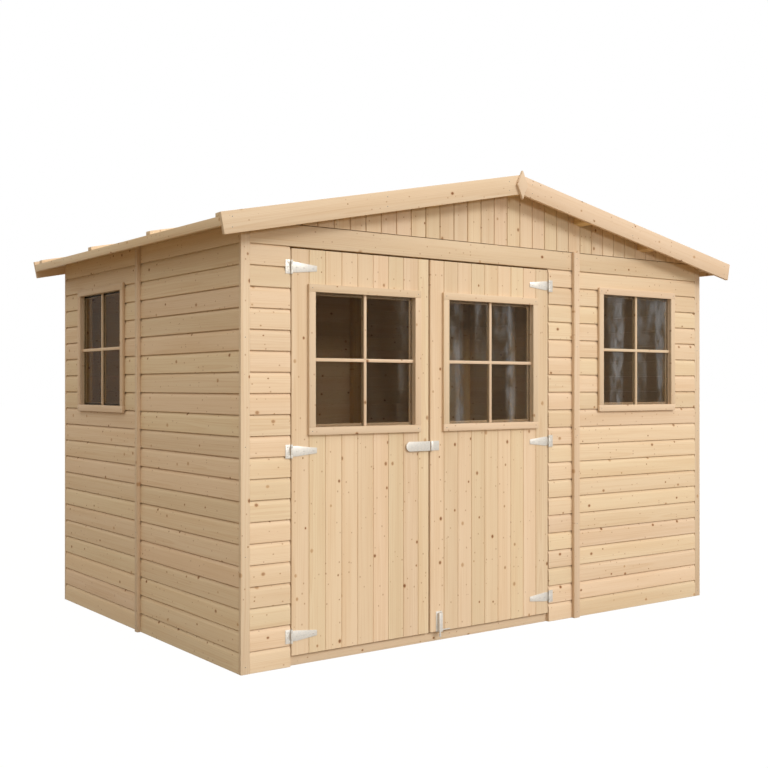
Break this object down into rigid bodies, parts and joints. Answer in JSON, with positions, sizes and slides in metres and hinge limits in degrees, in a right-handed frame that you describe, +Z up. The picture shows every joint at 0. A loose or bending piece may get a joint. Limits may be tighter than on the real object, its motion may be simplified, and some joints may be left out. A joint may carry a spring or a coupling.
{
  "type": "wooden garden shed",
  "caption": "Small boarded timber garden shed with a low gable roof, an outward-opening pair of ledged doors with a hasp and a drop bolt, and square-paned windows.",
  "frame": {"origin": "on the ground at the centre of the shed's footprint, which is also the bottom centre of its box", "axes": "+X to the right along the front, +Y from the front wall to the back wall, +Z up; the doors are on the -Y side"},
  "size_m": [3.206, 2.222, 2.203],
  "materials": {
    "pine": "bare planed softwood boards with knots",
    "pale_pine": "bare planed softwood trim",
    "frame_pine": "bare sawn softwood framing",
    "window_glass": "clear glazing",
    "galvanised_steel": "bright zinc plate"
  },
  "bodies": {
    "root": {"floor_bearers": "frame_pine", "floor_boards": "pine", "door_sill": "pine", "front_wall_left": "pine", "front_wall_middle": "pine", "front_wall_right": "pine", "front_header": "pine", "front_gable": "pine", "left_wall_front": "pine", "left_wall_rear": "pine", "right_wall_front": "pine", "right_wall_rear": "pine", "back_wall_left": "pine", "back_wall_right": "pine", "back_gable": "pine", "wall_plates": "frame_pine", "wall_studs": "frame_pine", "gable_rails": "frame_pine", "corner_boards": "pale_pine", "cover_strips": "pale_pine", "wall_window_frames": "pale_pine", "wall_window_glass": "window_glass", "left_roof_boards": "pine", "right_roof_boards": "pine", "ridge_beam": "frame_pine", "purlins": "frame_pine", "eave_fascias": "pine", "bargeboards": "pale_pine", "finials": "pale_pine", "roof_battens": "pine", "hinge_wall_plates": "galvanised_steel"},
    "left_door": {"left_door_boards": "pine", "left_door_ledges": "frame_pine", "left_door_window_frame": "pale_pine", "left_door_glass": "window_glass", "left_door_hinge_straps": "galvanised_steel", "hasp_strap": "galvanised_steel"},
    "right_door": {"right_door_boards": "pine", "right_door_ledges": "frame_pine", "right_door_window_frame": "pale_pine", "right_door_glass": "window_glass", "right_door_hinge_straps": "galvanised_steel", "hasp_plate": "galvanised_steel", "bolt_housing": "galvanised_steel"},
    "door_bolt": {"bolt_rod": "galvanised_steel"}
  },
  "joints": [
    {"name": "left_door_hinge", "type": "hinge", "parent": "root", "child": "left_door", "pos_m": [-1.2225, -1.006, 0.9], "axis": [0, 0, -1], "range_deg": [0, 150]},
    {"name": "right_door_hinge", "type": "hinge", "parent": "root", "child": "right_door", "pos_m": [0.2765, -1.006, 0.9], "axis": [0, 0, 1], "range_deg": [0, 150]},
    {"name": "door_bolt_slide", "type": "slide", "parent": "right_door", "child": "door_bolt", "axis": [0, 0, 1], "range_m": [0, 0.04]}
  ]
}
